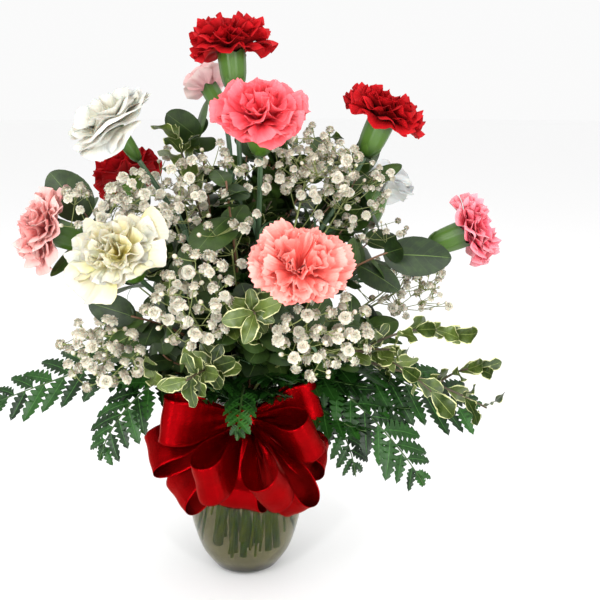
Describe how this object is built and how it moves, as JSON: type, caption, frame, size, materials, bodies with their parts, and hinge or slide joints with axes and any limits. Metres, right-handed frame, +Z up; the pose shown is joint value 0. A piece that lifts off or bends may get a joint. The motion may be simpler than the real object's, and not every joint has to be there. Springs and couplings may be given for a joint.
{
  "type": "carnations in a vase",
  "caption": "Carnations in a clear glass vase with eucalyptus, pittosporum, fern and baby's breath, and a looped satin bow at the neck.",
  "frame": {"origin": "centre of the vase's flat underside", "axes": "+Z up out of the vase; -Y is the front, where the bow is; +X is the viewer's right"},
  "size_m": [0.4219, 0.3144, 0.4683],
  "materials": {
    "vase_glass": "clear, polished",
    "water": "clear",
    "ribbon": "satin",
    "carnation_green": "matte, waxy",
    "petal_red": "matte",
    "petal_blush": "matte",
    "petal_coral": "matte",
    "petal_white": "matte",
    "petal_pale_pink": "matte",
    "petal_cream": "matte",
    "petal_salmon": "matte",
    "petal_hot_pink": "matte",
    "fern": "satin",
    "eucalyptus": "matte, waxy bloom",
    "pittosporum": "satin",
    "babys_breath": "matte"
  },
  "bodies": {
    "root": {"vase": "vase_glass", "neck_tie": "ribbon", "bow": "ribbon", "water": "water", "stem_red_top": "carnation_green", "bloom_red_top": "petal_red", "stem_pink_bud": "carnation_green", "bloom_pink_bud": "petal_blush", "stem_coral": "carnation_green", "bloom_coral": "petal_coral", "stem_white_left": "carnation_green", "bloom_white_left": "petal_white", "stem_red_left": "carnation_green", "bloom_red_left": "petal_red", "stem_pale_pink": "carnation_green", "bloom_pale_pink": "petal_pale_pink", "stem_cream": "carnation_green", "bloom_cream": "petal_cream", "stem_salmon": "carnation_green", "bloom_salmon": "petal_salmon", "stem_red_right": "carnation_green", "bloom_red_right": "petal_red", "stem_white_right": "carnation_green", "bloom_white_right": "petal_white", "stem_hot_pink": "carnation_green", "bloom_hot_pink": "petal_hot_pink", "fern_left": "fern", "fern_front_left": "fern", "fern_front": "fern", "fern_front_right": "fern", "fern_right_low": "fern", "fern_right": "fern", "fern_back": "fern", "eucalyptus_left": "eucalyptus", "eucalyptus_top": "eucalyptus", "eucalyptus_middle": "eucalyptus", "eucalyptus_right": "eucalyptus", "eucalyptus_upper_right": "eucalyptus", "eucalyptus_lower_left": "eucalyptus", "eucalyptus_back": "eucalyptus", "pittosporum_top_left": "pittosporum", "pittosporum_front": "pittosporum", "pittosporum_front_left": "pittosporum", "pittosporum_front_right": "pittosporum", "pittosporum_right": "pittosporum", "pittosporum_back": "pittosporum", "babys_breath_low_left": "babys_breath", "babys_breath_front_left": "babys_breath", "babys_breath_upper_left": "babys_breath", "babys_breath_upper_right": "babys_breath", "babys_breath_front_right": "babys_breath", "babys_breath_right": "babys_breath", "babys_breath_back": "babys_breath"}
  },
  "joints": []
}
